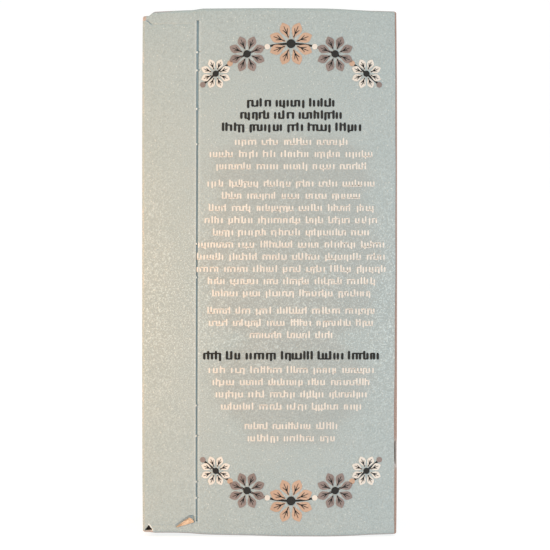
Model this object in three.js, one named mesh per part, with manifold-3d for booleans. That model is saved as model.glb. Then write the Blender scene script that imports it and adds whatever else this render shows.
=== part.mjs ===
// A shut folding carton for tea bags: one blank of printed board, creased and folded into a sleeve of
// four panels, glued along one long seam and closed at both ends by a flap. It stands on its lower end.
// The narrow panel at the front (-Y) has a perforated slit that frees a lid strip on its left, and the
// back panel has the same slit.

import * as THREE from "three";
import { mergeVertices } from "three/addons/utils/BufferGeometryUtils.js";
import Module from "manifold-3d";

const wasm = await Module();
wasm.setup();

// Driving dimensions in millimetres: X runs across the front panel, Y from front to back and Z up
const WIDTH = 67.6;
const DEPTH = 75;
const HEIGHT = 141;
const BOARD = 0.5;

// Folds and the way the filled board bows out between them
const LONG_FOLD = 0.7;
const END_FOLD = 1;
const END_CORNER = 0.6;
const FRONT_BOW = 0.5;
const SIDE_BOW = 0.2;
const END_DROP = 0.9;
const END_ZONE = 14;
const FOOT_HALF = 14;

// Long seam at the front right: the right panel laps over the glue tab and shows its cut edge
const SEAM_WIDTH = 0.6;
const SEAM_SETBACK = 0.35;

// Perforated slit between the lid strip and the rest of the panel, and the nicks that bridge it
const SLIT_X = -19.3;
const SLIT_WIDTH = 0.5;
const SLIT_BOTTOM = 4.4;
const SLIT_TOP = 137.4;
const NICK = 0.5;
const NICK_HEIGHTS = [10.4, 14.7, 26.9, 35, 69.1, 78.1, 104.6, 114, 124.3, 129.1];

// End flaps: each stops short of the left and back panels, and its cut edge shows there as a step
const FLAP_LEFT_GAP = 2.6;
const FLAP_BACK_GAP = 4.5;
const FLAP_STEP = { top: 1.1, bottom: 0.4 };
const FLAP_ZONE = 3;
const FLAP_EDGE_SLOPE = 0.06;

// A started tear at the foot of the slit, and the open corner beside the lower flap
const TEAR_LENGTH = 4.6;
const TEAR_WIDTH = 1.3;
const TEAR_RISE = 1.7;
const TEAR_DEPTH = 0.35;
const CORNER_GAP_WIDTH = 1.9;
const CORNER_GAP_HEIGHT = 1.3;
const CORNER_GAP_PEAK = 1.1;
const CORNER_GAP_FOOT = 1.8;
const CORNER_GAP_DEPTH = 2;

// Steps of the faceted surface, and the distance at which its vertices count as one
const FOLD_STEPS = 2;
const END_FOLD_STEPS = 5;
const EVEN_STEPS = 8;
const EVEN_STEPS_UP = 10;
const MERGE = 1e-4;

const HALF = { x: WIDTH / 2, y: DEPTH / 2, z: HEIGHT / 2 };
const FLAP_LEFT = FLAP_LEFT_GAP - HALF.x;
const FLAP_BACK = HALF.y - FLAP_BACK_GAP;
// How far a cutting block reaches past the surface that it cuts
const OUTSIDE = 3;

// Two close steps at the cut edge of the end flaps.
function flapEdge(place) {
  return [place - FLAP_EDGE_SLOPE / 2, place + FLAP_EDGE_SLOPE / 2];
}

// Places along one side of the plan: tangent steps through the fold at each end, even steps between, and
// the extra places given.
function planSteps(half, extra) {
  const flat = half - LONG_FOLD;
  const even = Array.from({ length: EVEN_STEPS + 1 }, (_, i) => flat * ((2 * i) / EVEN_STEPS - 1));
  const turn = (i) => flat + LONG_FOLD * Math.tan(((i + 1) / FOLD_STEPS) * (Math.PI / 4));
  const fold = Array.from({ length: FOLD_STEPS }, (_, i) => turn(i));
  return [...fold.map((p) => -p), ...even, ...extra, ...fold].sort((a, b) => a - b);
}

// Heights from the middle of the carton: equal turns through the rounded fold at each end, the start of the
// zone that slopes with the flaps' steps, and even steps between.
function heightSteps() {
  const flat = HALF.z - FLAP_ZONE;
  const even = Array.from({ length: EVEN_STEPS_UP + 1 }, (_, i) => flat * ((2 * i) / EVEN_STEPS_UP - 1));
  const turn = (i) => HALF.z - END_FOLD + END_FOLD * Math.sin((i / END_FOLD_STEPS) * (Math.PI / 2));
  const fold = Array.from({ length: END_FOLD_STEPS + 1 }, (_, i) => turn(i));
  return [...fold.map((p) => -p).reverse(), ...even, ...fold];
}

// How far a quarter-round of this radius has turned in at height z.
function turnedIn(z, radius) {
  const into = Math.max(0, Math.abs(z) - (HALF.z - radius));
  return radius - Math.sqrt(Math.max(0, radius * radius - into * into));
}

// How far the front and back panels bow out: nothing at their folds, all of it in their middle.
function frontBow(x, z) {
  return FRONT_BOW * (1 - (x / HALF.x) ** 2) * (1 - (z / HALF.z) ** 2);
}

// How far the side panels bow out together with their folds: nothing at the ends, most of it between them.
function sideBow(z) {
  return SIDE_BOW * (1 - (z / HALF.z) ** 4);
}

// How far the end lies below its flap where the flap's board stops: along the left panel and, on the end
// itself, along the back panel.
function belowFlap(x, y, z) {
  const step = z > 0 ? FLAP_STEP.top : FLAP_STEP.bottom;
  const onEnd = THREE.MathUtils.smoothstep(Math.abs(z), HALF.z - FLAP_ZONE, HALF.z);
  if (x < FLAP_LEFT) return step * onEnd;
  return y > FLAP_BACK && Math.abs(z) === HALF.z ? BOARD : 0;
}

// A point of the carton's surface, from a point on the plain box of the same size about the same centre.
function surfacePoint(x, y, z) {
  const nearX = THREE.MathUtils.clamp(x, LONG_FOLD - HALF.x, HALF.x - LONG_FOLD);
  const nearY = THREE.MathUtils.clamp(y, LONG_FOLD - HALF.y, HALF.y - LONG_FOLD);
  const away = Math.hypot(x - nearX, y - nearY);
  const round = away > 0 ? Math.max(Math.abs(x - nearX), Math.abs(y - nearY)) / away : 1;
  const planX = (nearX + (x - nearX) * round) * (1 - turnedIn(z, END_CORNER) / HALF.x);
  const planY = (nearY + (y - nearY) * round) * (1 - turnedIn(z, END_FOLD) / HALF.y);
  const drop =
    END_DROP *
    THREE.MathUtils.smoothstep(Math.abs(planX), FOOT_HALF, HALF.x) *
    THREE.MathUtils.smoothstep(Math.abs(z), HALF.z - END_ZONE, HALF.z);
  return [
    planX * (1 + sideBow(z) / HALF.x),
    planY * (1 + frontBow(planX, z) / HALF.y),
    HALF.z + z - Math.sign(z) * (drop + belowFlap(x, y, z)),
  ];
}

// The filled sleeve with its rounded folds, before anything is cut into it.
function sleeveGeometry() {
  const xs = planSteps(HALF.x, [...flapEdge(FLAP_LEFT), -FOOT_HALF, FOOT_HALF]);
  const ys = planSteps(HALF.y, flapEdge(FLAP_BACK));
  const zs = heightSteps();
  const geometry = new THREE.BoxGeometry(2, 2, 2, xs.length - 1, ys.length - 1, zs.length - 1);
  const position = geometry.getAttribute("position");
  const step = (share, list) => list[Math.round(((share + 1) / 2) * (list.length - 1))];
  for (let i = 0; i < position.count; i++) {
    const [x, y, z] = [position.getX(i), position.getY(i), position.getZ(i)];
    position.setXYZ(i, ...surfacePoint(step(x, xs), step(y, ys), step(z, zs)));
  }
  return geometry;
}

// A geometry as a solid that can be cut.
function solidOf(geometry) {
  geometry.deleteAttribute("normal");
  geometry.deleteAttribute("uv");
  const merged = mergeVertices(geometry, MERGE);
  return new wasm.Manifold(
    new wasm.Mesh({
      numProp: 3,
      vertProperties: new Float32Array(merged.getAttribute("position").array),
      triVerts: new Uint32Array(merged.index.array),
    }),
  );
}

function geometryOf(solid) {
  const mesh = solid.getMesh();
  const geometry = new THREE.BufferGeometry();
  geometry.setAttribute("position", new THREE.BufferAttribute(new Float32Array(mesh.vertProperties), 3));
  geometry.setIndex(new THREE.BufferAttribute(new Uint32Array(mesh.triVerts), 1));
  geometry.computeVertexNormals();
  return geometry;
}

// A block between two opposite corners.
function block(low, high) {
  const size = high.map((value, axis) => value - low[axis]);
  const middle = high.map((value, axis) => (value + low[axis]) / 2);
  return new THREE.BoxGeometry(...size).translate(...middle);
}

// A prism that sinks an outline of [x, z] points into the front panel.
function frontPrism(outline, depth) {
  const shape = new THREE.Shape(outline.map(([x, z]) => new THREE.Vector2(x, z)));
  const geometry = new THREE.ExtrudeGeometry(shape, { depth: depth + OUTSIDE, bevelEnabled: false });
  return geometry.rotateX(Math.PI / 2).translate(0, depth - HALF.y, 0);
}

// The cuts of one slit, from nick to nick, as deep as the board. Side is -1 at the front and 1 at the back.
function slitCuts(side) {
  const starts = [SLIT_BOTTOM, ...NICK_HEIGHTS.map((z) => z + NICK / 2)];
  const ends = [...NICK_HEIGHTS.map((z) => z - NICK / 2), SLIT_TOP];
  return starts.map((start, i) => {
    const face = HALF.y + frontBow(SLIT_X, (start + ends[i]) / 2 - HALF.z);
    const reach = [side * (face - BOARD), side * (face + OUTSIDE)].sort((a, b) => a - b);
    return block(
      [SLIT_X - SLIT_WIDTH / 2, reach[0], start],
      [SLIT_X + SLIT_WIDTH / 2, reach[1], ends[i]],
    );
  });
}

// The step along the front right fold, which leaves the right panel's cut edge behind the front panel.
function seamCut() {
  const low = [HALF.x - SEAM_WIDTH, -HALF.y - OUTSIDE, -OUTSIDE];
  const high = [HALF.x + OUTSIDE, SEAM_SETBACK - HALF.y, HEIGHT + OUTSIDE];
  return block(low, high);
}

// The started tear, which runs down and to the left from the foot of the slit.
function tearCut() {
  const right = SLIT_X - SLIT_WIDTH;
  const tip = [right - TEAR_LENGTH, SLIT_BOTTOM - TEAR_RISE];
  const mouth = [SLIT_BOTTOM - TEAR_WIDTH / 2, SLIT_BOTTOM + TEAR_WIDTH / 2];
  return frontPrism([tip, [right, mouth[0]], [right, mouth[1]]], TEAR_DEPTH);
}

// The three-cornered gap between the lower flap and the left panel.
function cornerGapCut() {
  const left = END_CORNER - HALF.x;
  const foot = [left, CORNER_GAP_FOOT];
  const heel = [left + CORNER_GAP_WIDTH, CORNER_GAP_FOOT];
  const peak = [left + CORNER_GAP_PEAK, CORNER_GAP_FOOT + CORNER_GAP_HEIGHT];
  return frontPrism([foot, heel, peak], CORNER_GAP_DEPTH);
}

function cartonGeometry() {
  const cuts = [...slitCuts(-1), ...slitCuts(1), seamCut(), tearCut(), cornerGapCut()];
  const carton = cuts.reduce((solid, cut) => solid.subtract(solidOf(cut)), solidOf(sleeveGeometry()));
  return geometryOf(carton);
}

const printedBoard = new THREE.MeshStandardMaterial({ color: 0xb9c3bd, roughness: 0.62, metalness: 0 });

const carton = new THREE.Mesh(cartonGeometry(), printedBoard);
carton.name = "carton";

const teaBox = new THREE.Group();
teaBox.add(carton);

export default teaBox;
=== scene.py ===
import math

import bmesh
import bpy
import numpy as np
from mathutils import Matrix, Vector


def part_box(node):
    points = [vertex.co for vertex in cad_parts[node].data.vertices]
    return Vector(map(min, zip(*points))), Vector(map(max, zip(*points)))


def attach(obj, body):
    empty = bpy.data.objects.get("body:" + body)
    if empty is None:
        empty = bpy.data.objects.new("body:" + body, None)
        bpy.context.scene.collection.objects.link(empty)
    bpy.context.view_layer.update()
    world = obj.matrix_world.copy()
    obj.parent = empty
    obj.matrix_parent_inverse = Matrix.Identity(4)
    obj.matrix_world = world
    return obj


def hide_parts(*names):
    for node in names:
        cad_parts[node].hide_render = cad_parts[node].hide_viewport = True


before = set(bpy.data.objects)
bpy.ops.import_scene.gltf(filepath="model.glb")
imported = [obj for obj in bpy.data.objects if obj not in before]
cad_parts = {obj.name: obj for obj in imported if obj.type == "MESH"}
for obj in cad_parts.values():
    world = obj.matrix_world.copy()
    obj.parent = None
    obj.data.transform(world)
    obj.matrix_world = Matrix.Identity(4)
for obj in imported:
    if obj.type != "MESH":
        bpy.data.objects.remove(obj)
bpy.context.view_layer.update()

# Carton shell: one blank of folding boxboard, creased and folded into a sleeve round the tea bags, glued
# along the front right fold and shut by a flap at each end. The filled board bows out between its folds.
# Sizes are in millimetres, and height z is measured from the middle of the carton.
MM = 0.001
BOARD = 0.5
LONG_FOLD = 0.7
END_FOLD = 1.0
END_CORNER = 0.6
FRONT_BOW = 0.5
SIDE_BOW = 0.2
END_DROP = 0.9
END_ZONE = 5.0
FOOT_HALF = 14.0
shell_low, shell_high = (np.array(corner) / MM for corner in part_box("carton"))
HALF_X = (shell_high[0] - shell_low[0]) / 2 - SIDE_BOW
HALF_Y = (shell_high[1] - shell_low[1]) / 2 - FRONT_BOW
HALF_Z = (shell_high[2] - shell_low[2]) / 2
FLAP_BACK_GAP = 4.5
FLAP_BACK = HALF_Y - FLAP_BACK_GAP
FLAP_STEP_TOP = 1.1
FLAP_STEP_BOTTOM = 0.2
FLAP_ZONE = 3.0
FLAP_SLANT = (-32.7, -30.9)
FRONT_LINE_DEPTH = 26.0
TOP_LINE = np.array(
    [[-33.8, 1.0], [-30.8, 1.0], [-25.2, 0.7], [-20.4, 0.52], [-17.8, 0.12], [-1.2, 0.0]]
    + [[14.8, 0.1], [18.8, 0.25], [22.8, 0.5], [26.6, 0.7], [33.8, 0.9]]
)
BOTTOM_LINE = np.array(
    [[-33.8, 0.98], [-25.2, 1.0], [-21.2, 0.85], [-17.2, 0.52], [-5.2, 0.28], [2.8, 0.04]]
    + [[14.8, 0.0], [18.8, 0.08], [22.8, 0.22], [26.6, 0.45], [33.8, 0.66]]
)


def ramp(value, start, stop):
    """Smooth step: 0 before start, 1 after stop, and the cubic 3t2 - 2t3 between them."""
    share = np.clip((value - start) / (stop - start), 0, 1)
    return share * share * (3 - 2 * share)


def end_turn(z, radius):
    """How far a quarter round of this radius, at either end, has turned in at height z."""
    into = np.clip(np.abs(z) - (HALF_Z - radius), 0, radius)
    return radius - np.sqrt(radius**2 - into**2)


def front_bow(x, z):
    """How far the front and back panels stand out: a parabola across and along them, 0 at their folds."""
    return FRONT_BOW * (1 - (x / HALF_X) ** 2) * (1 - (z / HALF_Z) ** 2)


def side_bow(z):
    """How far the side panels stand out with their folds: by a fourth power of the height, 0 at the ends."""
    return SIDE_BOW * (1 - (z / HALF_Z) ** 4)


def flap_drop(x, y, z):
    """How far an end lies below its flap: past the flap's slanted left edge, and on the end itself behind the
    flap's back edge."""
    step = np.where(z > 0, FLAP_STEP_TOP, FLAP_STEP_BOTTOM)
    past = step * (1 - ramp(x, *FLAP_SLANT)) * ramp(np.abs(z), HALF_Z - FLAP_ZONE, HALF_Z)
    behind = (y > FLAP_BACK) & np.isclose(np.abs(z), HALF_Z)
    return np.maximum(past, BOARD * behind)


def end_drop(x, y, z):
    """How far an end slopes away from its highest line: by the uneven fold lines at the front, which turn
    into an even slope outside the flat foot further back, all of it fading out along the panels."""
    uneven = np.where(z > 0, np.interp(x, *TOP_LINE.T), np.interp(x, *BOTTOM_LINE.T))
    even = END_DROP * ramp(np.abs(x), FOOT_HALF, HALF_X)
    back = ramp(y + HALF_Y, END_FOLD, FRONT_LINE_DEPTH)
    return (uneven * (1 - back) + even * back) * ramp(np.abs(z), HALF_Z - END_ZONE, HALF_Z)


def shell_point(x, y, z):
    """Point of the shell for a point of the plain box: the plan's square corners become arcs, the ends turn
    in by quarter rounds, all four panels bow out, and the ends slope away from their highest lines."""
    near_x = np.clip(x, LONG_FOLD - HALF_X, HALF_X - LONG_FOLD)
    near_y = np.clip(y, LONG_FOLD - HALF_Y, HALF_Y - LONG_FOLD)
    off_x, off_y = x - near_x, y - near_y
    away = np.maximum(np.hypot(off_x, off_y), 1e-9)
    arc = np.where(away > 1e-6, np.maximum(np.abs(off_x), np.abs(off_y)) / away, 1)
    plan_x = (near_x + off_x * arc) * (1 - end_turn(z, END_CORNER) / HALF_X)
    plan_y = (near_y + off_y * arc) * (1 - end_turn(z, END_FOLD) / HALF_Y)
    drop = end_drop(plan_x, plan_y, z) + flap_drop(x, y, z)
    return np.stack(
        [
            plan_x * (1 + side_bow(z) / HALF_X),
            plan_y * (1 + front_bow(plan_x, z) / HALF_Y),
            HALF_Z + z - np.sign(z) * drop,
        ],
        axis=-1,
    )


# Relief and wear of the board: a perforated slit that small nicks hold shut, score lines near the ends, a cut
# beside the top flap, a torn spot at the slit's foot, an open corner, the right panel's cut edge along the
# seam, and print rubbed off the folds. Heights are from the floor.
SLIT_X = -19.25
SLIT_WIDTH = 0.5
SLIT_LEAN = 0.34
SLIT_BOTTOM, SLIT_TOP = 4.2, 137.6
NICK = 0.5
NICK_HEIGHTS = np.array([10.4, 14.7, 26.9, 35.0, 69.1, 78.1, 104.6, 114.0, 124.3, 129.1])
SIDE_CUT = 0.35
SIDE_CUT_DEPTH = 0.2
LIP_AWAY = 0.5
LIP_WIDTH = 0.25
LIP_RISE = 0.05
SEAM_WIDTH = 0.6
SEAM_SETBACK = 0.35
SEAM_REACH = 3.0
SEAM_GAP = (19.8, 24.9)
SEAM_GAP_DEPTH = 1.0
TEAR = np.array([[-25.0, 2.5], [-19.85, 3.95], [-19.8, 5.1], [-20.2, 5.65], [-21.25, 5.75], [-24.9, 3.2]])
TEAR_DEPTH = 0.25
TEAR_BLUE = -20.9
TEAR_BLUE_EDGE = 0.2
OPEN_CORNER = np.array([[-33.2, 1.75], [-31.3, 1.85], [-32.15, 3.15]])
OPEN_CORNER_DEPTH = 1.4
FLAP_CUT = np.array([[-32.7, 137.6], [-31.5, 136.65]])
FLAP_CUT_DEPTH = 0.25
SCORES = ((136.55, -31.4, -20.6), (3.05, -31.4, -24.7))
SCORE_DEPTH = 0.12
SCORE_WIDTH = 0.22
WALL = 0.02
TEAR_EDGE = (-0.06, 0.08)
OPEN_CORNER_EDGE = (-0.05, 0.08)
FLAP_CUT_EDGE = (-0.16, -0.04)


def inside(x, z, outline):
    """Distance inside a convex outline, corners counter-clockwise: the least distance to a side."""
    side = np.roll(outline, -1, axis=0) - outline
    normal = np.stack([-side[:, 1], side[:, 0]], axis=-1) / np.linalg.norm(side, axis=1)[:, None]
    from_corner = np.stack([x, z], axis=-1)[..., None, :] - outline
    return (from_corner * normal).sum(-1).min(-1)


def beside_line(x, z, line):
    """Distance from the stretch between two points."""
    start, run = line[0], line[1] - line[0]
    share = np.clip(((x - start[0]) * run[0] + (z - start[1]) * run[1]) / (run @ run), 0, 1)
    return np.hypot(x - start[0] - share * run[0], z - start[1] - share * run[1])


def slit_parts(x, z):
    """Where the slit is cut, where fibres bridge its left half at a nick, and where a short side cut leaves
    its right side there."""
    offset = x - SLIT_X
    from_nick = z[..., None] - NICK_HEIGHTS
    at_nick = (np.abs(from_nick) < NICK / 2).any(-1)
    above_nick = ((from_nick > 0) & (from_nick < NICK / 2)).any(-1)
    in_slit = (np.abs(offset) < SLIT_WIDTH / 2 + WALL / 2) & (z > SLIT_BOTTOM) & (z < SLIT_TOP)
    bridge = in_slit & at_nick & (offset < WALL / 2)
    side_cut = above_nick & (offset > SLIT_WIDTH / 2) & (offset < SLIT_WIDTH / 2 + SIDE_CUT)
    return in_slit & ~bridge, bridge, side_cut


def lip(x, z):
    """Share of the low lip that the cutting rule pressed up along each side of the slit: a bell across."""
    bell = np.exp(-(((np.abs(x - SLIT_X) - LIP_AWAY) / LIP_WIDTH) ** 2))
    return bell * (z > SLIT_BOTTOM) * (z < SLIT_TOP)


def slit_relief(x, z):
    """Depth of the slit, as deep as the board, with its side cuts, and with lips and bridges that rise."""
    cut, bridge, side_cut = slit_parts(x, z)
    return np.select([cut, bridge, side_cut], [BOARD, -LIP_RISE, SIDE_CUT_DEPTH], -LIP_RISE * lip(x, z))


def front_relief(x, z):
    """Depth of all that is pressed, cut or torn into the front panel: score lines are bells across, and the
    tear, the open corner and the flap's cut go down steeply at their edges."""
    depth = slit_relief(x, z)
    for height, left, right in SCORES:
        bell = np.exp(-(((z - height) / SCORE_WIDTH) ** 2))
        depth = depth + SCORE_DEPTH * bell * (x > left) * (x < right)
    through = ramp(x, TEAR_BLUE - TEAR_BLUE_EDGE, TEAR_BLUE + TEAR_BLUE_EDGE)
    tear_depth = TEAR_DEPTH + (BOARD - TEAR_DEPTH) * through
    depth = np.maximum(depth, tear_depth * ramp(inside(x, z, TEAR), *TEAR_EDGE))
    depth = np.maximum(depth, OPEN_CORNER_DEPTH * ramp(inside(x, z, OPEN_CORNER), *OPEN_CORNER_EDGE))
    return np.maximum(depth, FLAP_CUT_DEPTH * ramp(-beside_line(x, z, FLAP_CUT), *FLAP_CUT_EDGE))


def stations(limit, step, special):
    """Even places from -limit to limit, with the special places among them instead of even ones close by."""
    even = np.linspace(-limit, limit, int(round(2 * limit / step)) + 1)
    clear = np.abs(even[:, None] - special).min(axis=1) > CLOSE_BY * step
    return np.unique(np.concatenate([even[clear], special]).round(4))


def both(places):
    """The places on both sides of zero."""
    return np.concatenate([-np.asarray(places), np.asarray(places)])


def wall_at(*places):
    """Two close stations at each place, for an upright wall."""
    return np.concatenate([[place - WALL, place + WALL] for place in places])


# The board's grid has even steps, close pairs at the walls of every cut, and fine steps over the open corner,
# the tear and the flap's cut.
EVEN_STEP = 1.6
DEPTH_STEP = 2.4
CLOSE_BY = 0.3
LIP_PLACES = np.array([-0.8, -0.5, 0.95])
FINE_STEP = 0.13
TEAR_STEP = 0.2
CORNER_ACROSS, CORNER_UP = (-33.05, -30.7), (1.55, 3.3)
TEAR_ACROSS, TEAR_UP = (-25.2, -19.7), (3.4, 6.1)
FLAP_CUT_UP = (136.2, 138.0)
fold_turn = LONG_FOLD * np.tan(np.linspace(0, np.pi / 4, 5))
end_turns = HALF_Z - END_FOLD + END_FOLD * np.sin(np.linspace(0, np.pi / 2, 13))
slit_walls = SLIT_X + np.array([-SLIT_WIDTH / 2, 0.0, SLIT_WIDTH / 2, SLIT_WIDTH / 2 + SIDE_CUT])
x_places = stations(
    HALF_X,
    EVEN_STEP,
    np.concatenate(
        [
            both(HALF_X - LONG_FOLD + fold_turn),
            wall_at(*slit_walls, HALF_X - SEAM_WIDTH),
            SLIT_X + LIP_PLACES,
            np.arange(*CORNER_ACROSS, FINE_STEP),
            np.arange(*TEAR_ACROSS, TEAR_STEP),
        ]
    ),
)
y_places = stations(
    HALF_Y, DEPTH_STEP, np.concatenate([both(HALF_Y - LONG_FOLD + fold_turn), wall_at(FLAP_BACK)])
)
nick_walls = np.concatenate([NICK_HEIGHTS - NICK / 2, NICK_HEIGHTS, NICK_HEIGHTS + NICK / 2])
z_places = stations(
    HALF_Z,
    EVEN_STEP,
    np.concatenate(
        [
            both(end_turns),
            wall_at(*nick_walls, SLIT_BOTTOM, SLIT_TOP) - HALF_Z,
            np.arange(*CORNER_UP, FINE_STEP) - HALF_Z,
            np.arange(*TEAR_UP, TEAR_STEP) - HALF_Z,
            np.arange(*FLAP_CUT_UP, FINE_STEP) - HALF_Z,
        ]
    ),
)


def grid_corners(grid):
    """The four corners of every cell of a grid, in order round the cell."""
    corners = np.stack([grid[:-1, :-1], grid[1:, :-1], grid[1:, 1:], grid[:-1, 1:]], axis=2)
    return corners.reshape(-1, 4, *grid.shape[2:])


def box_side(axis, sign):
    """One side of the box of stations: its grid of vertex numbers as quads that face out, and each corner's
    share along the two ways of the side."""
    places = [x_places, y_places, z_places]
    counts = [len(row) for row in places]
    ways = [(axis + 1) % 3, (axis + 2) % 3]
    a, b = np.meshgrid(np.arange(counts[ways[0]]), np.arange(counts[ways[1]]), indexing="ij")
    index = [None, None, None]
    index[axis] = np.full_like(a, counts[axis] - 1 if sign > 0 else 0)
    index[ways[0]], index[ways[1]] = a, b
    number = (index[0] * counts[1] + index[1]) * counts[2] + index[2]
    rows = [places[way] for way in ways]
    shares = np.stack([(row[i] - row[0]) / np.ptp(row) for row, i in zip(rows, (a, b))], axis=-1)
    corners = [grid_corners(grid) for grid in (number, shares)]
    return corners if sign > 0 else [quads[:, ::-1] for quads in corners]


# Each side of the box keeps its own tile of the texture map, in a sheet of three by two tiles.
TILE_MARGIN = 0.02
sides = [box_side(axis, sign) for axis in (0, 1, 2) for sign in (-1, 1)]
tile = np.array([[i % 3, i // 3] for i in range(6)]) + TILE_MARGIN
tile_uv = [(shares * (1 - 2 * TILE_MARGIN) + tile[i]) / (3, 2) for i, (_, shares) in enumerate(sides)]
numbers, quads = np.unique(np.concatenate([number for number, _ in sides]), return_inverse=True)
quads = quads.reshape(-1, 4)
box_x = x_places[numbers // (len(y_places) * len(z_places))]
box_y = y_places[numbers // len(z_places) % len(y_places)]
box_z = z_places[numbers % len(z_places)]
floor_z = box_z + HALF_Z
on_front = np.isclose(box_y, -HALF_Y)
on_back = np.isclose(box_y, HALF_Y)

# The slit leans and opens a little towards the top, and the raw strip beside the seam is widest low down.
LEAN_REACH = 6.0
SHUT_SHARE, OPEN_SHARE = 0.08, 0.32
OPENS_OVER = (100, 118)
SEAM_LEAST, SEAM_SWELL = 0.42, 0.38
SWELL_HEIGHT = SWELL_REACH = 30
SEAM_RIPPLE, RIPPLE_LENGTH = 0.04, 4.1
SEAM_BEHIND = 0.1
SEAM_GAP_AWAY = 0.3
from_slit = box_x - SLIT_X
opening = OPEN_SHARE * ramp(floor_z, *OPENS_OVER) - SHUT_SHARE
from_right = HALF_X - box_x
seam_swell = SEAM_SWELL * np.exp(-(((floor_z - SWELL_HEIGHT) / SWELL_REACH) ** 2))
seam_shown = SEAM_LEAST + seam_swell + SEAM_RIPPLE * np.sin(floor_z / RIPPLE_LENGTH)
seam_push = np.where(
    from_right < SEAM_WIDTH,
    from_right * (1 - seam_shown / SEAM_WIDTH),
    (SEAM_WIDTH - seam_shown) * np.clip((SEAM_REACH - from_right) / (SEAM_REACH - SEAM_WIDTH), 0, 1),
)
leaning_x = (
    box_x
    + SLIT_LEAN * (floor_z / (2 * HALF_Z) - 0.5) * np.exp(-((from_slit / LEAN_REACH) ** 2))
    + from_slit * opening * np.exp(-(from_slit**2))
    + seam_push
)
shell = shell_point(leaning_x, box_y, box_z)
height = shell[:, 2].copy()
shell[:, 1] += on_front * front_relief(box_x, height) - on_back * slit_relief(box_x, height)
at_seam = (box_x > HALF_X - SEAM_WIDTH) & (box_y < LONG_FOLD + SEAM_BEHIND - HALF_Y)
in_gap = at_seam & (floor_z > SEAM_GAP[0]) & (floor_z < SEAM_GAP[1]) & (from_right > SEAM_GAP_AWAY)
seam_back = SEAM_SETBACK + SEAM_GAP_DEPTH * in_gap - HALF_Y
shell[:, 1] = np.where(at_seam, np.maximum(shell[:, 1], seam_back), shell[:, 1])

# Raw is where the print is worn or cut through, and pale how light the raw board is there. The seam's cut
# edge
# faces away from the light: its darker tone is painted shade, and a paler stretch by the gap is painted
# light.
# The other shares paint light and shade: a grey line of painted shade along the end folds, partly a worn fold
# line; painted shade, tinted blue, in the cuts and beside them; painted shade in the openings; raised fibres
# made white by a painted highlight; and a band of painted glints round the carton's middle, where its grain
# stands out. Wear along a line is its strength, then the distances between which it fades out.
LEFT_WEAR = (0.52, 0.4, 1.0)
BACK_WEAR = (0.5, 0.2, 0.8)
END_WEAR = (0.3, 0.1, 0.7)
END_WEAR_IN = 0.35
UNWORN = 1.5
TOP_CORNER_LEFT, TOP_CORNER_UP, TOP_CORNER_DEPTH = -32.85, 137.5, 1.2
FOOT_CORNER_LEFT, FOOT_CORNER_UP, FOOT_CORNER_DEPTH = -31.2, 1.72, 2.0
# The seam's raw edge is darkened by painted shade, and paler where painted light falls on a stretch by the
# gap.
SEAM_LIT_FROM, SEAM_LIT_TO = (17.8, 18.8), (25.2, 26.2)
SEAM_SHADE_TONE, SEAM_LIT_PALER, CORNER_TONE = 0.2, 0.6, 0.55
# Painted shade, partly wear, of the end folds' grey line: its band, least strength and stronger stretches.
FOLD_SHADE_BAND = (0.45, 0.1)
FOLD_SHADE_LEAST = 0.1
LEFT_FOLD_SHADE_X = -29.0
LEFT_FOLD_SHADE = (0.85, 1.6, 4.0)
RIGHT_FOLD_SHADE, RIGHT_FOLD_SHADE_OVER = 0.4, (24, 28)
BOTTOM_FOLD_SHADE = 0.7
SIDE_CUT_SHADE, FLAP_CUT_SHADE, TEAR_SHADE = 0.9, 0.6, 0.2
BRIDGE_SCUFF_HIGHLIGHT, LIP_HIGHLIGHT = 0.9, 0.16
SLIVER_LEFT = -32.3
TEAR_MARK, OPEN_CORNER_MARK = (-0.06, 0.04), (-0.06, 0.06)
FLAP_CUT_MARK, SLIVER_MARK = (-0.2, -0.06), (-0.4, -0.2)
GLINT_HEIGHT, GLINT_REACH = 61.0, 28.0


def faded(distance, strength, near, far):
    """Wear along a line: its strength up to the near distance, then a smooth step to 0 at the far one."""
    return strength * (1 - ramp(distance, near, far))


left_fold = np.hypot(box_x + HALF_X, np.maximum(0, box_y + HALF_Y))
back_folds = np.hypot(np.abs(box_x) - HALF_X, box_y - HALF_Y)
end_fold = np.abs(np.abs(box_z) - (HALF_Z - END_WEAR_IN)) + UNWORN * (np.abs(box_y) < HALF_Y)
behind_flap = np.abs(box_y - FLAP_BACK) + UNWORN * (np.abs(box_z) < HALF_Z - WALL / 2)
top_corner = (box_x < TOP_CORNER_LEFT) & (height > TOP_CORNER_UP) & (box_y < TOP_CORNER_DEPTH - HALF_Y)
foot_corner = (box_x < FOOT_CORNER_LEFT) & (height < FOOT_CORNER_UP) & (box_y < FOOT_CORNER_DEPTH - HALF_Y)
raw = np.maximum.reduce(
    [
        1.0 * at_seam,
        faded(left_fold, *LEFT_WEAR),
        faded(back_folds, *BACK_WEAR),
        faded(end_fold, *END_WEAR),
        1.0 * top_corner,
        1.0 * foot_corner,
        1.0 * (behind_flap < 2 * WALL),
    ]
)
# The seam's raw edge faces away from the light: its darker tone is painted shade, its paler stretch painted
# light.
lit_seam_stretch = ramp(floor_z, *SEAM_LIT_FROM) * (1 - ramp(floor_z, *SEAM_LIT_TO))
corner_tone = np.where(top_corner | foot_corner, CORNER_TONE, 1.0)
pale = np.where(at_seam, SEAM_SHADE_TONE + SEAM_LIT_PALER * lit_seam_stretch, corner_tone)
cut, bridge, side_cut = slit_parts(box_x, height)
in_tear = on_front * ramp(inside(box_x, height, TEAR), *TEAR_MARK)
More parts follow.
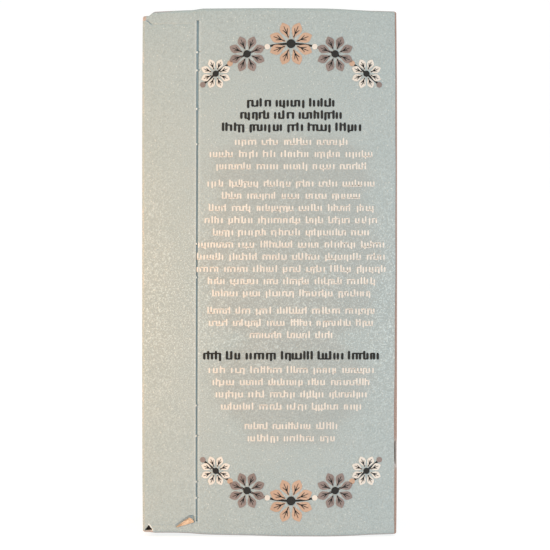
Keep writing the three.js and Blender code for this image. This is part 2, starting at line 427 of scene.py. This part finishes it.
# The grey line along the front's end folds is painted shade where the fold turns from the light, partly a
# worn fold line.
end_line = on_front * ramp(np.abs(box_z), *(HALF_Z - np.array(FOLD_SHADE_BAND)))
left_fold_shade = faded(np.abs(box_x - LEFT_FOLD_SHADE_X), *LEFT_FOLD_SHADE)
top_fold_shade = FOLD_SHADE_LEAST + left_fold_shade + RIGHT_FOLD_SHADE * ramp(box_x, *RIGHT_FOLD_SHADE_OVER)
fold_shade_and_wear = end_line * np.where(box_z > 0, top_fold_shade, BOTTOM_FOLD_SHADE)
# Painted shade, tinted blue: in the slit, in the side cuts beside its nicks, in the tear's deep right end and
# along the flap's cut.
shaded = np.maximum.reduce(
    [
        (on_front | on_back) * (1.0 * cut + SIDE_CUT_SHADE * side_cut),
        in_tear * (box_x > TEAR_BLUE),
        on_front * FLAP_CUT_SHADE * ramp(-beside_line(box_x, height, FLAP_CUT), *FLAP_CUT_MARK),
    ]
)
# Painted shade in the openings: dark in the open corner's hole, and light in the tear's shallow left band.
in_corner = on_front * ramp(inside(box_x, height, OPEN_CORNER), *OPEN_CORNER_MARK)
hollow = np.maximum(in_corner, TEAR_SHADE * in_tear * (box_x < TEAR_BLUE))
# Painted highlights: a white sliver on the open corner's lit raw edge, and white on the nicks' raised fibres
# and on the slit's lips.
beside_corner = ramp(-beside_line(box_x, height, OPEN_CORNER[1:]), *SLIVER_MARK)
sliver = on_front * (1 - in_corner) * beside_corner
slit_scuff_highlight = (on_front | on_back) * (BRIDGE_SCUFF_HIGHLIGHT * bridge + LIP_HIGHLIGHT * lip(box_x, height))
scuff_and_highlight = np.maximum(slit_scuff_highlight, sliver * (box_x > SLIVER_LEFT))
# A band of painted glints round the carton at the warm lamp's height, where the grain mottles more brightly.
glint_band = np.exp(-(((floor_z - GLINT_HEIGHT) / GLINT_REACH) ** 2))

# Edges that turn more sharply than this stay sharp under smooth shading
SHARP_TURN = math.radians(40)


def make_piece(name, points, faces, material):
    """A mesh object at the origin with its place in its vertices, riding on the carton's body."""
    mesh = bpy.data.meshes.new(name)
    mesh.from_pydata(points * MM, [], faces)
    mesh.shade_smooth()
    mesh.set_sharp_from_angle(angle=SHARP_TURN)
    mesh.materials.append(material)
    piece = bpy.data.objects.new(name, mesh)
    bpy.context.scene.collection.objects.link(piece)
    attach(piece, "root")
    return piece


def linear(colour):
    """An sRGB hex colour as linear red, green, blue and alpha."""
    parts = np.array([int(colour[i : i + 2], 16) for i in (1, 3, 5)]) / 255
    parts = np.where(parts <= 0.04045, parts / 12.92, ((parts + 0.055) / 1.055) ** 2.4)
    return (*parts, 1.0)


def add(tree, kind, values=(), links=(), **properties):
    """Adds a node, sets its properties and input values, and links its inputs to other nodes' outputs."""
    node = tree.nodes.new(kind)
    for name, value in properties.items():
        setattr(node, name, value)
    for socket, value in dict(values).items():
        node.inputs[socket].default_value = value
    for socket, source in dict(links).items():
        tree.links.new(source, node.inputs[socket])
    return node


# Numbers of a colour Mix node's two colour inputs and of its colour output
MIX_A, MIX_B, MIX_OUT = 6, 7, 2
# Real fibres are thinner than a picture point, so the felted grain is drawn at the size of small fibre clumps
CLUMP = 0.34
STRAND = (0.36, 0.8)
STRAND_SLANT = math.radians(35)
STRAND_SHARE = 0.2
CLOUD = 7.0
FLECK_SPACING = 1.2
CLOUD_FRAY, FELT_FRAY = 0.5, 0.8


def paper_grain(tree):
    """Felted grain on Object coordinates: clumps of fibres crossed by slanting strands, the cloudy formation
    of the sheet, and the bump that the clumps give."""
    place = add(tree, "ShaderNodeTexCoord").outputs["Object"]
    clump = add(
        tree,
        "ShaderNodeTexNoise",
        {"Scale": 1 / (CLUMP * MM), "Detail": 2.0, "Roughness": 0.6},
        {"Vector": place},
    ).outputs["Fac"]
    slanting = add(
        tree,
        "ShaderNodeMapping",
        {"Rotation": (0.0, STRAND_SLANT, 0.0), "Scale": (STRAND[0] * MM, STRAND[0] * MM, STRAND[1] * MM)},
        {"Vector": place},
        vector_type="TEXTURE",
    ).outputs["Vector"]
    strand = add(
        tree, "ShaderNodeTexNoise", {"Scale": 1.0, "Detail": 1.0}, {"Vector": slanting}
    ).outputs["Fac"]
    felt = add(
        tree, "ShaderNodeMix", {0: STRAND_SHARE}, {2: clump, 3: strand}, data_type="FLOAT"
    ).outputs[0]
    cloud = add(
        tree, "ShaderNodeTexNoise", {"Scale": 1 / (CLOUD * MM), "Detail": 4.0}, {"Vector": place}
    ).outputs["Fac"]
    bump = add(
        tree, "ShaderNodeBump", {"Strength": 0.7, "Distance": 0.22 * MM}, {"Height": felt}
    ).outputs["Normal"]
    return place, felt, cloud, bump


def boxboard():
    """Uncoated folding boxboard printed with one flat pale blue: matt, mottled by its felted fibres, more so
    with bright specks in a band of painted glints at mid-height, with light flecks, and brown raw board where
    the print is worn or the blank was cut. Over these it paints shade and light: a grey line of painted
    shade, partly wear, at the end folds, blue painted shade in the cuts, dark painted shade in the openings,
    and a painted highlight on raised fibres. Clouds and felt are added to the worn share, so that the edge of
    the raw board is ragged."""
    material = bpy.data.materials.new("uncoated_folding_boxboard")
    material.use_nodes = True
    tree = material.node_tree
    shader = tree.nodes["Principled BSDF"]
    place, felt, cloud, bump = paper_grain(tree)
    worn, tone, fold_shade_and_wear_share, wall, dark, scuff_highlight, glint_share, toning = (
        add(tree, "ShaderNodeAttribute", attribute_name=name).outputs["Fac"]
        for name in ("raw", "pale", "fold_shade_and_wear", "shaded", "hollow", "scuff_and_highlight", "glint_band", "toned")
    )
    blue, kraft = (
        add(
            tree, "ShaderNodeMix", {MIX_A: linear(low), MIX_B: linear(high)}, {0: share}, data_type="RGBA"
        ).outputs[MIX_OUT]
        for low, high, share in (("#9ca6a4", "#a4aba8", cloud), ("#9c7663", "#c6bab1", tone))
    )
    speck = add(
        tree, "ShaderNodeTexVoronoi", {"Scale": 1 / (FLECK_SPACING * MM)}, {"Vector": place}
    ).outputs["Distance"]
    patchy = add(
        tree, "ShaderNodeMath", {1: CLOUD_FRAY}, {0: cloud, 2: worn}, operation="MULTIPLY_ADD"
    ).outputs["Value"]
    ragged = add(
        tree, "ShaderNodeMath", {1: FELT_FRAY}, {0: felt, 2: patchy}, operation="MULTIPLY_ADD"
    ).outputs["Value"]
    calm_mottle, glint_mottle, kraft_mottle, fleck, bare, roughness = (
        add(
            tree,
            "ShaderNodeMapRange",
            {"From Min": start, "From Max": stop, "To Min": low, "To Max": high},
            {"Value": value},
        ).outputs["Result"]
        for value, start, stop, low, high in (
            (felt, 0.32, 0.68, 0.85, 1.13),
            (felt, 0.48, 0.68, 0.89, 1.51),
            (felt, 0.32, 0.68, 0.78, 1.16),
            (speck, 0.08, 0.16, 0.5, 0.0),
            (ragged, 1.2, 1.36, 0.0, 1.0),
            (felt, 0.3, 0.7, 0.74, 0.6),
        )
    )
    # Inside the band of painted glints the mottle is brighter and more speckled.
    blue_mottle = add(
        tree, "ShaderNodeMix", links={0: glint_share, 2: calm_mottle, 3: glint_mottle}, data_type="FLOAT"
    ).outputs[0]
    print_colour, raw_colour = (
        add(
            tree, "ShaderNodeVectorMath", links={0: flat, 1: mottle}, operation="MULTIPLY"
        ).outputs["Vector"]
        for flat, mottle in ((blue, blue_mottle), (kraft, kraft_mottle))
    )
    # Layers over the print: light flecks, the wording's tone, a painted highlight, painted shade at the end
    # folds, in cuts and in openings, raw board, and painted shade in openings.
    for over, share in (
        (linear("#d6d4c9"), fleck),
        (linear("#7d6d60"), toning),
        (linear("#dfe0da"), scuff_highlight),
        (linear("#9d8c8a"), fold_shade_and_wear_share),
        (linear("#93a5ab"), wall),
        (raw_colour, bare),
        (linear("#45342c"), dark),
    ):
        layer = add(tree, "ShaderNodeMix", links={0: share, MIX_A: print_colour}, data_type="RGBA")
        if isinstance(over, tuple):
            layer.inputs[MIX_B].default_value = over
        else:
            tree.links.new(over, layer.inputs[MIX_B])
        print_colour = layer.outputs[MIX_OUT]
    tree.links.new(print_colour, shader.inputs["Base Color"])
    tree.links.new(roughness, shader.inputs["Roughness"])
    tree.links.new(bump, shader.inputs["Normal"])
    shader.inputs["IOR"].default_value = 1.45
    return material


carton = make_piece("carton_board", shell, quads, boxboard())


def mark_board(name, shares):
    """Stores one share for each point of the board, which its material reads by the name."""
    carton.data.attributes.new(name, "FLOAT", "POINT").data.foreach_set("value", shares.astype(np.float32))


mark_board("raw", raw)
mark_board("pale", pale)
mark_board("fold_shade_and_wear", fold_shade_and_wear)
mark_board("shaded", shaded)
mark_board("hollow", hollow)
mark_board("scuff_and_highlight", scuff_and_highlight)
mark_board("glint_band", glint_band)
carton.data.uv_layers.new(name="OFBake").data.foreach_set(
    "uv", np.concatenate(tile_uv).astype(np.float32).ravel()
)
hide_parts("carton")

# Torn ply at the foot of the slit: a tongue of the board's raw back that was pulled out when the lid strip
# was first pressed in. It is thin and pale, lies in the torn hollow and is joined at its lower left tip.
TONGUE_FOOT = np.array([[-24.75, 2.5], [-21.74, 3.4], [-20.1, 3.95]])
TONGUE_HEAD = np.array([[-24.75, 2.72], [-22.9, 4.1], [-21.35, 5.1]])
TONGUE_BULGE = np.array([0.2, 0.16])
TONGUE_LIFT = 0.3
HEAD_LOWER = 0.8
TONGUE_RIPPLE = 0.04
RIPPLE_TURN = 9
TONGUE_CLEAR = 0.05
TONGUE_THICKNESS = 0.25
PULLED_STRAND = (2.4, 0.45)
PULLED_SLANT = math.radians(-28)


def along(route, share):
    """Points at the given shares of a route of straight stretches, by the shares of its points."""
    known = np.linspace(0, 1, len(route))
    return np.stack([np.interp(share, known, route[:, i]) for i in (0, 1)], axis=-1)


def sheet_quads(rows, columns):
    """Quads of a closed thin sheet: a front grid, a back grid turned round, and a rim between their edges."""
    front = np.arange(rows * columns).reshape(rows, columns)
    back = front + rows * columns
    rim = np.concatenate([front[:-1, 0], front[-1, :-1], front[:0:-1, -1], front[0, :0:-1]])
    after = np.roll(rim, -1)
    walls = np.stack([rim, after, after + rows * columns, rim + rows * columns], axis=-1)
    return np.concatenate([grid_corners(front), grid_corners(back)[:, ::-1], walls[:, ::-1]])


def face_out(piece):
    """Turns every face of a closed piece outwards."""
    shape = bmesh.new()
    shape.from_mesh(piece.data)
    bmesh.ops.recalc_face_normals(shape, faces=shape.faces)
    shape.to_mesh(piece.data)
    shape.free()
    return piece


tongue_share, tongue_across = np.meshgrid(np.linspace(0, 1, 15), np.linspace(0, 1, 8), indexing="ij")
tongue = (
    along(TONGUE_FOOT, tongue_share) * (1 - tongue_across[..., None])
    + along(TONGUE_HEAD, tongue_share) * tongue_across[..., None]
    + TONGUE_BULGE * (tongue_share**4 * np.sin(np.pi * tongue_across))[..., None]
)
tongue_ground = shell_point(tongue[..., 0], np.full_like(tongue_share, -HALF_Y), tongue[..., 1] - HALF_Z)
tongue_ground[..., 2] = tongue[..., 1]
tongue_curl = TONGUE_LIFT * tongue_share * (1 - HEAD_LOWER * tongue_across)
tongue_rise = tongue_curl + TONGUE_RIPPLE * np.sin(RIPPLE_TURN * tongue_share)
outward = np.array([0.0, -1.0, 0.0])
tongue_front = tongue_ground + (tongue_rise[..., None] + TONGUE_CLEAR) * outward
tongue_back = tongue_front - TONGUE_THICKNESS * outward


def torn_ply():
    """Torn boxboard back: pale brown, rough and fibrous, with darker pulled strands."""
    material = bpy.data.materials.new("torn_boxboard_ply")
    material.use_nodes = True
    tree = material.node_tree
    shader = tree.nodes["Principled BSDF"]
    place, _, _, bump = paper_grain(tree)
    length, width = (size * MM for size in PULLED_STRAND)
    along_tongue = add(
        tree,
        "ShaderNodeMapping",
        {"Rotation": (0.0, PULLED_SLANT, 0.0), "Scale": (length, width, width)},
        {"Vector": place},
        vector_type="TEXTURE",
    ).outputs["Vector"]
    strand = add(
        tree, "ShaderNodeTexNoise", {"Scale": 1.0, "Detail": 2.0}, {"Vector": along_tongue}
    ).outputs["Fac"]
    share = add(
        tree, "ShaderNodeMapRange", {"From Min": 0.36, "From Max": 0.64}, {"Value": strand}
    ).outputs["Result"]
    colour = add(
        tree,
        "ShaderNodeMix",
        {MIX_A: linear("#a98668"), MIX_B: linear("#d2b89e")},
        {0: share},
        data_type="RGBA",
    ).outputs[MIX_OUT]
    tree.links.new(colour, shader.inputs["Base Color"])
    tree.links.new(bump, shader.inputs["Normal"])
    shader.inputs["Roughness"].default_value = 0.9
    return material


tongue_points = np.concatenate([tongue_front.reshape(-1, 3), tongue_back.reshape(-1, 3)])
face_out(make_piece("torn_ply", tongue_points, sheet_quads(*tongue_share.shape), torn_ply()))

# Flower garlands: a plain arch of rosettes on a thin line, printed above and below the wording of every panel
# in three inks with dark lines. Each printed shape is a thin closed film of ink that follows the board. Panel
# coordinates are millimetres to the right of the print's middle line and up from the middle of the panel.
INK_LIFT = 0.04
INK_SINK = 0.04
FELT_IN_INK = 0.6
PRINT_MIDDLE = 5.7
ARCH_TOP = 60.9
ARCH_FALL = 0.02
ARCH_HALF = 23.4
LINE_HALF = 0.28
ROSETTES = {"tan": ((0.0, 6.0),), "taupe": ((-11.7, 5.0), (11.7, 5.0)), "cream": ((-20.0, 4.1), (20.0, 4.1))}
PETALS = 8
PETAL_START = 0.24
PETAL_WIDTH = 0.6
PETAL_TIP = 0.05
PETAL_FULLNESS = 1.4
VEINS = ((0.08, 0.7, 0.0), (0.3, 0.3, 0.5), (0.3, 0.3, -0.5))
VEIN_HALF = 0.13
VEIN_FOOT, VEIN_TAPER = 1.1, 0.6
DISC_END = 0.06
HEART = 0.2
BERRIES = {"tan": (-16.2, 16.2), "taupe": (-23.4, 23.4), "cream": (-6.3, 6.3)}
BERRY_RADIUS = 0.75


def arch(across):
    """Points of the garland's line, a parabola that falls away from its top to both sides."""
    return np.stack([across, ARCH_TOP - ARCH_FALL * across**2], axis=-1)


def rosette_petals(rosettes):
    """Rows of base, heading and length for the petals of the rosettes, spread evenly round each."""
    place, radius = (np.repeat(column, PETALS) for column in np.array(rosettes).T)
    heading = np.tile(np.arange(PETALS) * 2 * np.pi / PETALS, len(rosettes)) + np.pi / PETALS
    ahead = np.stack([np.cos(heading), np.sin(heading)], axis=-1)
    base = arch(place) + PETAL_START * radius[:, None] * ahead
    return np.column_stack([base, heading, (1 - PETAL_START) * radius])


def petal_half(petals, share):
    """Half the width of each petal at a share of its length: a sine arch, fullest past half way."""
    arch_share = np.sin(np.pi * share**PETAL_FULLNESS)
    return 0.5 * PETAL_WIDTH * petals[:, 3, None] * (PETAL_TIP + (1 - PETAL_TIP) * arch_share)


def petal_point(petals, share, across):
    """Points at shares of each petal's length along its heading, moved sideways by the distance across."""
    spread = (slice(None),) + (None,) * (np.ndim(share) - 1)
    ahead = petals[:, 3][spread] * share
    cos, sin = np.cos(petals[:, 2])[spread], np.sin(petals[:, 2])[spread]
    return petals[:, :2][spread] + np.stack([ahead * cos - across * sin, ahead * sin + across * cos], axis=-1)


def petal_sheets(petals):
    """Grids of the petals: shares of the length one way, shares of the width the other."""
    share = np.linspace(0, 1, 13)
    across = petal_half(petals, share[None])[..., None] * np.linspace(-1, 1, 5)
    return petal_point(petals, np.broadcast_to(share[None, :, None], across.shape), across)


def stroke_sheets(paths, half):
    """Grids of strokes: each path of points is widened by half to both sides along its normal."""
    run = np.gradient(paths, axis=1)
    normal = np.stack([-run[..., 1], run[..., 0]], axis=-1) / np.linalg.norm(run, axis=-1)[..., None]
    half = np.broadcast_to(half, paths.shape[:2])[..., None]
    return np.stack([paths - half * normal, paths, paths + half * normal], axis=2)


def vein_sheets(petals):
    """Tapering strokes of each petal's middle line and of one pair of side lines that leave it at a slant,
    from their starts and lengths along the petal and how far they reach to its side."""
    out = np.linspace(0, 1, 7)
    strokes = []
    for start, length, side in VEINS:
        share = np.broadcast_to(start + length * out, (len(petals), len(out)))
        across = side * petal_half(petals, share[:, -1:]) * out
        half = VEIN_HALF * (VEIN_FOOT - VEIN_TAPER * out)
        strokes.append(stroke_sheets(petal_point(petals, share, across), half))
    return np.concatenate(strokes)


def round_sheets(centres, radius):
    """Grids of discs: chords one way, from a short one at each end, and shares of each chord the other."""
    turn = np.linspace(DISC_END, np.pi - DISC_END, 11)[:, None]
    unit = np.stack(np.broadcast_arrays(-np.cos(turn), np.sin(turn) * np.linspace(-1, 1, 5)), axis=-1)
    return centres[:, None, None] + unit * np.broadcast_to(radius, len(centres))[:, None, None, None]


PANELS = {
    "front": (lambda u, v: (u, np.full_like(u, -HALF_Y), v), np.array([0.0, -1.0, 0.0])),
    "back": (lambda u, v: (-u, np.full_like(u, HALF_Y), v), np.array([0.0, 1.0, 0.0])),
    "left": (lambda u, v: (np.full_like(u, -HALF_X), -u, v), np.array([-1.0, 0.0, 0.0])),
    "right": (lambda u, v: (np.full_like(u, HALF_X), u, v), np.array([1.0, 0.0, 0.0])),
}
PANEL_MIDDLES = {"front": PRINT_MIDDLE, "back": -PRINT_MIDDLE, "left": 0.0, "right": 0.0}


def film(panel, sheets, lift):
    """Points and quads of closed films on a panel, from grids of panel coordinates: a face that stands proud
    by the lift and a back that is sunk in the board."""
    onto_box, normal = PANELS[panel]
    ground = shell_point(*onto_box(sheets[..., 0], sheets[..., 1]))
    count, rows, columns = sheets.shape[:3]
    points = np.stack([ground + lift * normal, ground - INK_SINK * normal], axis=1)
    offsets = np.arange(count)[:, None, None] * (2 * rows * columns)
    return points.reshape(-1, 3), (sheet_quads(rows, columns) + offsets).reshape(-1, 4)


def print_piece(name, films, material):
    """One piece of all the films of one ink."""
    starts = np.cumsum([0] + [len(points) for points, _ in films[:-1]])
    faces = np.concatenate([quads + start for (_, quads), start in zip(films, starts)])
    return face_out(make_piece(name, np.concatenate([points for points, _ in films]), faces, material))


def ink(name, dark, light):
    """Matt water-based ink on uncoated board: it sinks in unevenly, so the felted board shows as a mottle."""
    material = bpy.data.materials.new(name)
    material.use_nodes = True
    tree = material.node_tree
    shader = tree.nodes["Principled BSDF"]
    _, felt, cloud, bump = paper_grain(tree)
    patchy = add(
        tree, "ShaderNodeMath", {1: FELT_IN_INK}, {0: felt, 2: cloud}, operation="MULTIPLY_ADD"
    ).outputs["Value"]
    share = add(
        tree, "ShaderNodeMapRange", {"From Min": 0.5, "From Max": 1.1}, {"Value": patchy}
    ).outputs["Result"]
    colour = add(
        tree,
        "ShaderNodeMix",
        {MIX_A: linear(dark), MIX_B: linear(light)},
        {0: share},
        data_type="RGBA",
    ).outputs[MIX_OUT]
    tree.links.new(colour, shader.inputs["Base Color"])
    tree.links.new(bump, shader.inputs["Normal"])
    shader.inputs["Roughness"].default_value = 0.7
    shader.inputs["IOR"].default_value = 1.45
    return material


def garlands(sheets, lift):
    """Films of a garland's sheets above and below the wording of every panel, the lower ones mirrored."""
    pair = [sheets, sheets * np.array([1.0, -1.0])]
    middles = [(panel, [PANEL_MIDDLES[panel], 0.0]) for panel in PANELS]
    return [film(panel, garland + middle, lift) for panel, middle in middles for garland in pair]


INKS = {
    "taupe": ink("taupe_ink", "#7a6b65", "#8c7d77"),
    "tan": ink("tan_ink", "#ae8e77", "#be9e87"),
    "cream": ink("cream_ink", "#cdc4b9", "#d9d0c4"),
    "black": ink("black_ink", "#0d0d0a", "#1a1a16"),
}
for colour, rosettes in ROSETTES.items():
    berries = round_sheets(arch(np.array(BERRIES[colour])), BERRY_RADIUS)
    petal_films = garlands(petal_sheets(rosette_petals(rosettes)), 2 * INK_LIFT)
    print_piece(f"garland_{colour}", petal_films + garlands(berries, 2 * INK_LIFT), INKS[colour])
every_rosette = [row for rosettes in ROSETTES.values() for row in rosettes]
hearts = round_sheets(arch(np.array(every_rosette)[:, 0]), HEART * np.array(every_rosette)[:, 1])
line = stroke_sheets(arch(np.linspace(-ARCH_HALF, ARCH_HALF, 61))[None], LINE_HALF)
veins = vein_sheets(rosette_petals(every_rosette))
line_films = garlands(line, INK_LIFT) + garlands(veins, 3 * INK_LIFT) + garlands(hearts, 3 * INK_LIFT)
print_piece("garland_lines", line_films, INKS["black"])

# Wording block: rows of upright strokes of uneven height, some of them joined by small arcs, in groups as
# long as words, stand where a panel's wording is. They spell nothing. The dark rows are headings, and the
# cream rows the small print below them, whose plate leaves a faint brown tone on the board round its rows.
ROW_PITCH = 3.25
WORD_GAP = 1.9
WORD_LENGTH = 7.6
FRONT_ROWS = (
    ("black", 0.0, (22.6, 26.2, 36.3)),
    ("cream", 3.9, (29.3, 42.6, 39.4)),
    ("cream", 4.6, (43.8, 36.2, 43.3, 45.2, 41.0, 48.8, 49.4, 49.6, 44.0, 41.6)),
    ("cream", 4.6, (44.0, 43.1, 21.6)),
    ("black", 5.5, (46.1,)),
    ("cream", 3.8, (43.2, 41.2, 39.6, 36.7)),
    ("cream", 5.2, (24.2, 22.8)),
)
SIDE_ROWS = (
    ("black", 0.0, (34.0, 42.0)),
    ("cream", 4.6, (48.0, 52.0, 45.0, 50.0, 31.0)),
)
FIRST_ROW = {"front": 45.0, "back": 45.0, "left": 11.0, "right": 11.0}
STROKE_PITCH = {"black": 0.88, "cream": 0.74}
STROKE_HALF = {"black": 0.33, "cream": 0.21}
STROKE_HEIGHT = {"black": 1.9, "cream": 1.45}
ARC_HALF = {"black": 0.19, "cream": 0.15}
ARC_RISE = 0.25
WORD_SPREAD = (0.55, 1.5)
STROKE_SHIFT = 0.16
LONGER_BY, LONGER_ODDS = (-0.4, 0.0, 0.5), (0.1, 0.7, 0.2)
ARC_SIDES, ARC_ODDS = (-1, 0, 1), (0.3, 0.4, 0.3)
TONING = 0.17
TONING_EDGE = 3.0
words = np.random.default_rng(7)


def row_places(panel):
    """Colour, height and length of each row of a panel, from the top down."""
    middle = FIRST_ROW[panel] + ROW_PITCH
    places = []
    for colour, gap, lengths in FRONT_ROWS if panel in ("front", "back") else SIDE_ROWS:
        middle -= max(gap - ROW_PITCH, 0.0)
        for length in lengths:
            middle -= ROW_PITCH
            places.append((colour, middle, length))
    return places


def tone_round_rows(panel):
    """Share of the tone that the cream rows leave on a panel's board: all of it inside an outline as wide as
    the rows, and nothing an edge's width outside it."""
    normal = PANELS[panel][1]
    box = np.stack([box_x, box_y, box_z], axis=-1)
    out = box @ normal
    across = np.abs(box @ np.cross([0.0, 0.0, 1.0], normal) - PANEL_MIDDLES[panel])
    cream_rows = [(height, length / 2) for colour, height, length in row_places(panel) if colour == "cream"]
    heights, halves = np.array(cream_rows[::-1]).T
    beside = ramp(np.interp(box_z, heights, halves) - across, -TONING_EDGE, TONING_EDGE)
    above = ramp(heights[-1] + TONING_EDGE - box_z, 0.0, TONING_EDGE)
    below = ramp(box_z - heights[0] + TONING_EDGE, 0.0, TONING_EDGE)
    return np.isclose(out, out.max()) * beside * above * below


def word_strokes(panel):
    """Strokes and arcs of each ink. Every row of the given length is split into words by a random draw, every
    word into nearly even strokes, some strokes are drawn longer, and some arcs join a stroke to the next one.
    Strokes are rows of place, low end and high end, and arcs rows of both places, height and side."""
    marks = {colour: ([], []) for colour in ("black", "cream")}
    for colour, middle, length in row_places(panel):
        count = max(2, round(length / WORD_LENGTH))
        share = words.uniform(*WORD_SPREAD, count)
        sizes = share / share.sum() * (length - WORD_GAP * (count - 1))
        starts = PANEL_MIDDLES[panel] - length / 2 + np.cumsum(sizes + WORD_GAP) - sizes - WORD_GAP
        counts = np.maximum(2, np.round(sizes / STROKE_PITCH[colour]).astype(int))
        place = np.concatenate([np.linspace(a, a + s, n) for a, s, n in zip(starts, sizes, counts)])
        place += STROKE_PITCH[colour] * words.uniform(-STROKE_SHIFT, STROKE_SHIFT, len(place))
        longer = words.choice(LONGER_BY, len(place), p=LONGER_ODDS)
        half = STROKE_HEIGHT[colour] / 2
        low = middle - half + np.minimum(longer, 0)
        strokes, arcs = marks[colour]
        strokes.append(np.column_stack([place, low, middle + half + np.maximum(longer, 0)]))
        side = words.choice(ARC_SIDES, len(place), p=ARC_ODDS)
        side[np.cumsum(counts) - 1] = 0
        left = np.flatnonzero(side)
        tip = middle + side[left] * (half - ARC_HALF[colour])
        arcs.append(np.column_stack([place[left], place[left + 1], tip, side[left]]))
    return {colour: [np.concatenate(rows) for rows in pair] for colour, pair in marks.items()}


def upright_sheets(strokes, half):
    """Grids of upright strokes with blunt ends: stations up each stroke, which narrow over both end arcs."""
    turn = np.array([0.5, np.pi / 2])
    rise = half * (1 - np.cos(turn))
    up = np.concatenate([strokes[:, 1:2] + rise, strokes[:, 2:3] - rise[::-1]], axis=1)
    wide = half * np.sin(np.concatenate([turn, turn[::-1]]))
    across = strokes[:, 0, None, None] + wide[:, None] * np.array([-1.0, 1.0])
    return np.stack(np.broadcast_arrays(across, up[..., None]), axis=-1)


def arc_sheets(arcs, half):
    """Grids of the arcs between two strokes: half a sine wave that bulges to the arc's side."""
    share = np.linspace(0, 1, 5)
    across = arcs[:, 0, None] * (1 - share) + arcs[:, 1, None] * share
    up = arcs[:, 2, None] + arcs[:, 3, None] * ARC_RISE * (np.sin(np.pi * share) - 1)
    return stroke_sheets(np.stack([across, up], axis=-1), half)[:, :, ::2]


wording = {"black": [], "cream": []}
for panel in PANELS:
    for colour, (strokes, arcs) in word_strokes(panel).items():
        wording[colour].append(film(panel, upright_sheets(strokes, STROKE_HALF[colour]), INK_LIFT))
        wording[colour].append(film(panel, arc_sheets(arcs, ARC_HALF[colour]), INK_LIFT))
for colour, films in wording.items():
    print_piece(f"wording_{colour}", films, INKS[colour])
toned = TONING * np.max([tone_round_rows(panel) for panel in PANELS], axis=0)
mark_board("toned", toned)

# Stage: a round tent of thin white paper, whose floor turns up into a wall and glows with the light that
# comes through it, a broad lamp, a small warm one at the left and a weak cool one at the right. None of it
# belongs to the object. Sizes are in metres, and the floor has a small hole in its middle, under the carton.
TENT_OPENING = 0.02
TENT_FLOOR = 1.3
TENT_TURN = 0.6
TENT_HEIGHT = 2.0
PAPER_GLOW = 0.77
ROOM_LIGHT = 0.51
turn = np.linspace(0, np.pi / 2, 13)
tent_out = np.concatenate([[TENT_OPENING], TENT_FLOOR + TENT_TURN * np.sin(turn), [TENT_FLOOR + TENT_TURN]])
tent_up = np.concatenate([[0.0], TENT_TURN * (1 - np.cos(turn)), [TENT_HEIGHT]])
tent_turn = np.linspace(0, 2 * np.pi, 73)
tent_points = np.stack(
    np.broadcast_arrays(
        tent_out[:, None] * np.cos(tent_turn), tent_out[:, None] * np.sin(tent_turn), tent_up[:, None]
    ),
    axis=-1,
)
tent_quads = grid_corners(np.arange(tent_points.size // 3).reshape(tent_points.shape[:2]))
tent_mesh = bpy.data.meshes.new("paper_tent")
tent_mesh.from_pydata(tent_points.reshape(-1, 3), [], tent_quads)
tent_mesh.shade_smooth()
tent = bpy.data.objects.new("paper_tent", tent_mesh)
bpy.context.scene.collection.objects.link(tent)
paper = bpy.data.materials.new("white_background_paper")
paper.use_nodes = True
paper_shader = paper.node_tree.nodes["Principled BSDF"]
paper_shader.inputs["Base Color"].default_value = linear("#8c8c8b")
paper_shader.inputs["Roughness"].default_value = 0.9
paper_shader.inputs["Emission Color"].default_value = linear("#ffffff")
paper_shader.inputs["Emission Strength"].default_value = PAPER_GLOW
tent_mesh.materials.append(paper)

world = bpy.data.worlds.new("soft_room")
world.use_nodes = True
room = world.node_tree.nodes["Background"]
room.inputs["Color"].default_value = linear("#fbfdff")
room.inputs["Strength"].default_value = ROOM_LIGHT
bpy.context.scene.world = world


def lamp(name, place, aim, size, watts, colour):
    """A square soft lamp at a place, turned to face the aim."""
    light = bpy.data.lights.new(name, "AREA")
    light.size = size
    light.energy = watts
    light.color = linear(colour)[:3]
    holder = bpy.data.objects.new(name, light)
    way = np.array(aim) - np.array(place)
    flat = math.hypot(way[0], way[1])
    holder.rotation_euler = (math.atan2(flat, -way[2]), 0.0, math.atan2(way[1], way[0]) - math.pi / 2)
    holder.location = place
    bpy.context.scene.collection.objects.link(holder)


WARM_HEIGHT = 0.066
COOL_HEIGHT = 0.04
lamp(
    "top_lamp",
    place=(0.0, -0.25, 0.8),
    aim=(0.0, 0.0, HALF_Z * MM),
    size=0.6,
    watts=2.1,
    colour="#ffffed",
)
lamp(
    "warm_lamp",
    place=(-0.11, -0.11, WARM_HEIGHT),
    aim=(-HALF_X * MM, -HALF_Y * MM, WARM_HEIGHT),
    size=0.08,
    watts=0.12,
    colour="#ffbc64",
)
lamp(
    "cool_lamp",
    place=(0.2, -0.2, COOL_HEIGHT),
    aim=(HALF_X * MM, -HALF_Y * MM, COOL_HEIGHT),
    size=0.12,
    watts=0.22,
    colour="#a8d4ff",
)

# Camera: straight on to the front panel from a step away, near the height of its middle and a little right of
# the carton's middle line. Its lens takes in the picture's width where the panel is.
PICTURE_WIDTH = 0.1465
CAMERA_AWAY = 0.62
CAMERA_RIGHT = 1.44 * MM
CAMERA_HEIGHT = 69.77 * MM
camera = bpy.data.objects.new("camera", bpy.data.cameras.new("camera"))
panel_face = -(HALF_Y + FRONT_BOW / 2) * MM
camera.location = (CAMERA_RIGHT, panel_face - CAMERA_AWAY, CAMERA_HEIGHT)
camera.rotation_euler = (math.pi / 2, 0.0, 0.0)
camera.data.lens = camera.data.sensor_width * CAMERA_AWAY / PICTURE_WIDTH
bpy.context.scene.collection.objects.link(camera)
bpy.context.scene.camera = camera
bpy.context.scene.view_settings.view_transform = "Standard"
